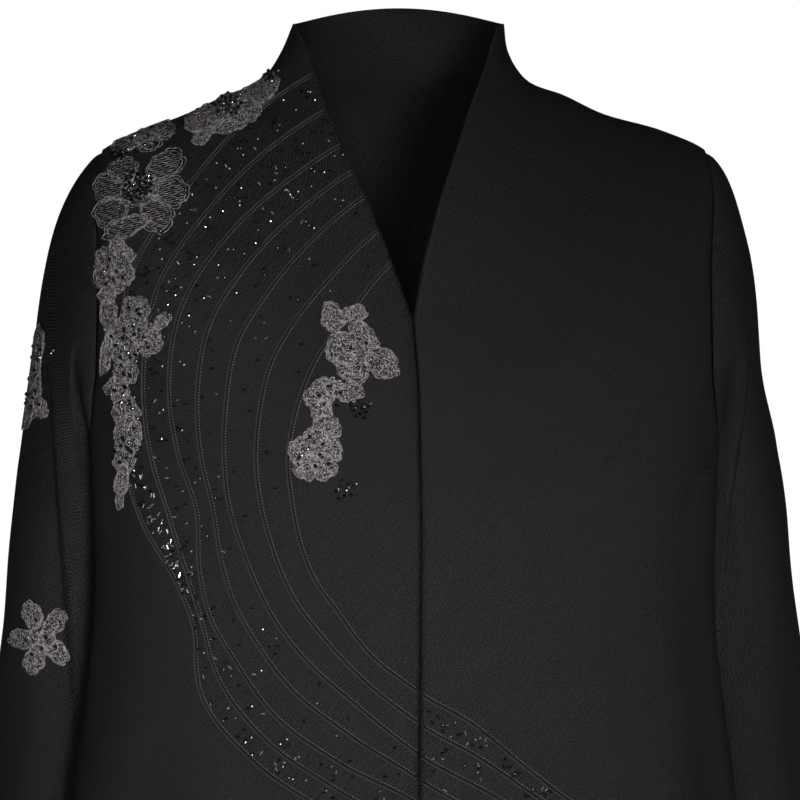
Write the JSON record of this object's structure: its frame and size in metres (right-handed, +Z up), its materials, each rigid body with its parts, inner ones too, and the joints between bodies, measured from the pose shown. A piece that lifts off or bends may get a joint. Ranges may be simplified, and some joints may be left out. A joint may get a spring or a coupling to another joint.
{
  "type": "abaya cloak",
  "caption": "Long open-front black abaya cloak with grown-on stand collar, curved tucks, beading and lace motifs on one side.",
  "frame": {"origin": "on the shoulder line at the height of the neck points, midway between the shoulders, where the wearer holds the cloak up", "axes": "+Z up; the front faces -Y; +X is towards the wearer's left"},
  "size_m": [0.6786, 0.4131, 1.4741],
  "materials": {
    "cloth": "matt black twill crepe",
    "lace": "dark grey corded lace",
    "cord": "grey couched cord and sewing thread",
    "beads": "black cut glass beads and bugles",
    "silver_beads": "silver-lined seed beads"
  },
  "bodies": {
    "root": {"front_right": "cloth", "front_left": "cloth", "back": "cloth", "sleeve_right": "cloth", "sleeve_left": "cloth", "lace_chest": "lace", "lace_collar_side": "lace", "lace_column": "lace", "lace_flower": "lace", "lace_shoulder": "lace", "lace_upper_chest": "lace", "lace_sleeve_lower": "lace", "lace_sleeve_upper": "lace"}
  },
  "joints": []
}
